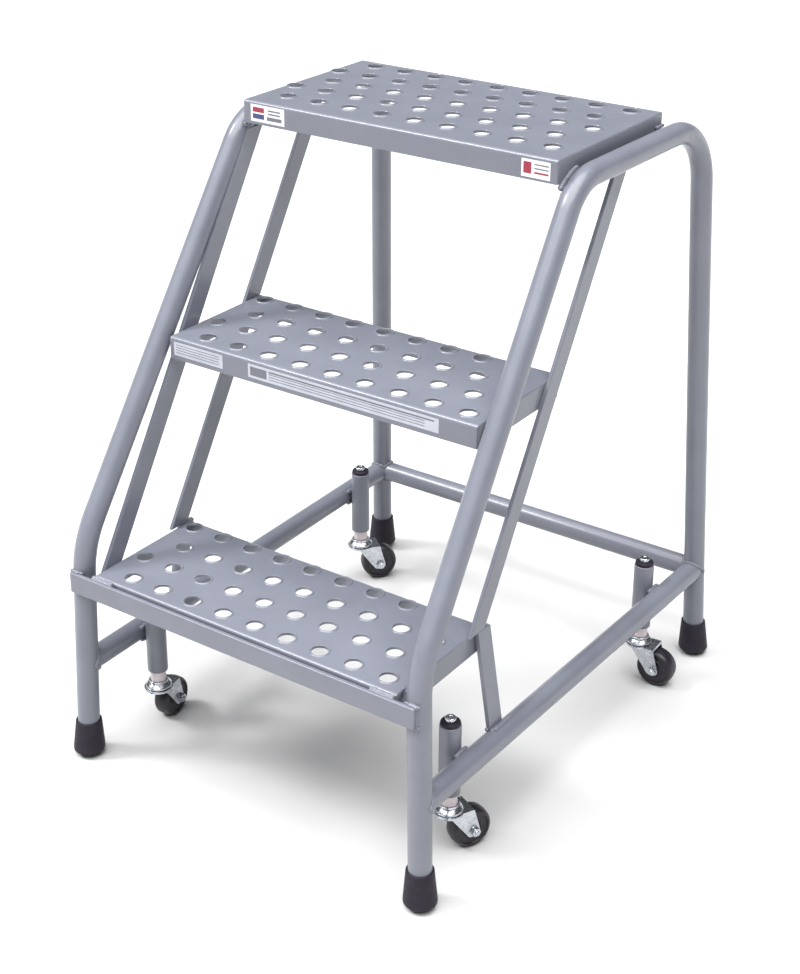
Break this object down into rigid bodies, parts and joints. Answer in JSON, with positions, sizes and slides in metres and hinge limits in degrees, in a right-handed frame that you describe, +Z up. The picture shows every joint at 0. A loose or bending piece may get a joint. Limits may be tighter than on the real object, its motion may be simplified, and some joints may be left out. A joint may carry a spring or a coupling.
{
  "type": "mobile ladder stand",
  "caption": "Mobile ladder stand: staggered perforated treads and platform between bent tube side frames, on rubber feet with sprung swivel casters that lift the feet until it is stepped on.",
  "frame": {"origin": "on the floor in the middle of the base, halfway between the front and rear feet", "axes": "+Z up, +Y from the climbing side to the rear, +X to the right as seen by someone facing the steps"},
  "size_m": [0.5561, 0.6823, 0.7702],
  "materials": {
    "grey_powder_coat": "light grey satin powder coat over welded steel",
    "zinc": "bright zinc-plated pressed steel",
    "spring_steel": "plain spring wire, hidden in the socket",
    "nylon": "natural nylon",
    "foot_rubber": "matt black moulded rubber",
    "washer_rubber": "black rubber stop washer",
    "wheel_rubber": "hard black rubber wheel, slightly worn sheen"
  },
  "bodies": {
    "frame": {"side_frame_left": "grey_powder_coat", "side_frame_right": "grey_powder_coat", "side_brace_left": "grey_powder_coat", "side_brace_right": "grey_powder_coat", "rear_cross_tube": "grey_powder_coat", "front_bar": "grey_powder_coat", "tread_lower": "grey_powder_coat", "tread_middle": "grey_powder_coat", "tread_platform": "grey_powder_coat", "front_stringer_left": "grey_powder_coat", "front_stringer_right": "grey_powder_coat", "rear_stringer_left": "grey_powder_coat", "rear_stringer_right": "grey_powder_coat", "strut_left": "grey_powder_coat", "strut_right": "grey_powder_coat", "foot_front_left": "foot_rubber", "foot_front_right": "foot_rubber", "foot_rear_left": "foot_rubber", "foot_rear_right": "foot_rubber", "socket_front_left": "grey_powder_coat", "socket_front_right": "grey_powder_coat", "socket_rear_left": "grey_powder_coat", "socket_rear_right": "grey_powder_coat"},
    "plunger_front_left": {"stem_front_left": "zinc", "stop_washer_front_left": "washer_rubber", "guide_bush_front_left": "nylon", "race_cup_front_left": "zinc", "spring_front_left": "spring_steel"},
    "swivel_front_left": {"fork_front_left": "zinc", "axle_bolt_front_left": "zinc"},
    "roller_front_left": {"wheel_front_left": "wheel_rubber"},
    "plunger_front_right": {"stem_front_right": "zinc", "stop_washer_front_right": "washer_rubber", "guide_bush_front_right": "nylon", "race_cup_front_right": "zinc", "spring_front_right": "spring_steel"},
    "swivel_front_right": {"fork_front_right": "zinc", "axle_bolt_front_right": "zinc"},
    "roller_front_right": {"wheel_front_right": "wheel_rubber"},
    "plunger_rear_left": {"stem_rear_left": "zinc", "stop_washer_rear_left": "washer_rubber", "guide_bush_rear_left": "nylon", "race_cup_rear_left": "zinc", "spring_rear_left": "spring_steel"},
    "swivel_rear_left": {"fork_rear_left": "zinc", "axle_bolt_rear_left": "zinc"},
    "roller_rear_left": {"wheel_rear_left": "wheel_rubber"},
    "plunger_rear_right": {"stem_rear_right": "zinc", "stop_washer_rear_right": "washer_rubber", "guide_bush_rear_right": "nylon", "race_cup_rear_right": "zinc", "spring_rear_right": "spring_steel"},
    "swivel_rear_right": {"fork_rear_right": "zinc", "axle_bolt_rear_right": "zinc"},
    "roller_rear_right": {"wheel_rear_right": "wheel_rubber"}
  },
  "joints": [
    {"name": "front_left_spring_travel", "type": "slide", "parent": "frame", "child": "plunger_front_left", "axis": [0, 0, 1], "range_m": [0, 0.008], "stiffness_N_per_m": 5000, "springref_m": -0.015, "deforming": ["spring_front_left"]},
    {"name": "front_left_swivel", "type": "hinge", "parent": "plunger_front_left", "child": "swivel_front_left", "pos_m": [-0.21833, -0.22303, 0], "axis": [0, 0, 1], "continuous": true},
    {"name": "front_left_wheel", "type": "hinge", "parent": "swivel_front_left", "child": "roller_front_left", "pos_m": [-0.22247, -0.19686, 0.0254], "axis": [-0.9877, -0.1564, 0], "continuous": true},
    {"name": "front_right_spring_travel", "type": "slide", "parent": "frame", "child": "plunger_front_right", "axis": [0, 0, 1], "range_m": [0, 0.008], "stiffness_N_per_m": 5000, "springref_m": -0.015, "deforming": ["spring_front_right"]},
    {"name": "front_right_swivel", "type": "hinge", "parent": "plunger_front_right", "child": "swivel_front_right", "pos_m": [0.21833, -0.22303, 0], "axis": [0, 0, 1], "continuous": true},
    {"name": "front_right_wheel", "type": "hinge", "parent": "swivel_front_right", "child": "roller_front_right", "pos_m": [0.22994, -0.19921, 0.0254], "axis": [-0.8988, 0.4384, 0], "continuous": true},
    {"name": "rear_left_spring_travel", "type": "slide", "parent": "frame", "child": "plunger_rear_left", "axis": [0, 0, 1], "range_m": [0, 0.008], "stiffness_N_per_m": 5000, "springref_m": -0.015, "deforming": ["spring_rear_left"]},
    {"name": "rear_left_swivel", "type": "hinge", "parent": "plunger_rear_left", "child": "swivel_rear_left", "pos_m": [-0.22607, 0.2209, 0], "axis": [0, 0, 1], "continuous": true},
    {"name": "rear_left_wheel", "type": "hinge", "parent": "swivel_rear_left", "child": "roller_rear_left", "pos_m": [-0.20904, 0.2412, 0.0254], "axis": [-0.766, 0.6428, 0], "continuous": true},
    {"name": "rear_right_spring_travel", "type": "slide", "parent": "frame", "child": "plunger_rear_right", "axis": [0, 0, 1], "range_m": [0, 0.008], "stiffness_N_per_m": 5000, "springref_m": -0.015, "deforming": ["spring_rear_right"]},
    {"name": "rear_right_swivel", "type": "hinge", "parent": "plunger_rear_right", "child": "swivel_rear_right", "pos_m": [0.22607, 0.2209, 0], "axis": [0, 0, 1], "continuous": true},
    {"name": "rear_right_wheel", "type": "hinge", "parent": "swivel_rear_right", "child": "roller_rear_right", "pos_m": [0.25251, 0.22275, 0.0254], "axis": [-0.0698, 0.9976, 0], "continuous": true}
  ]
}
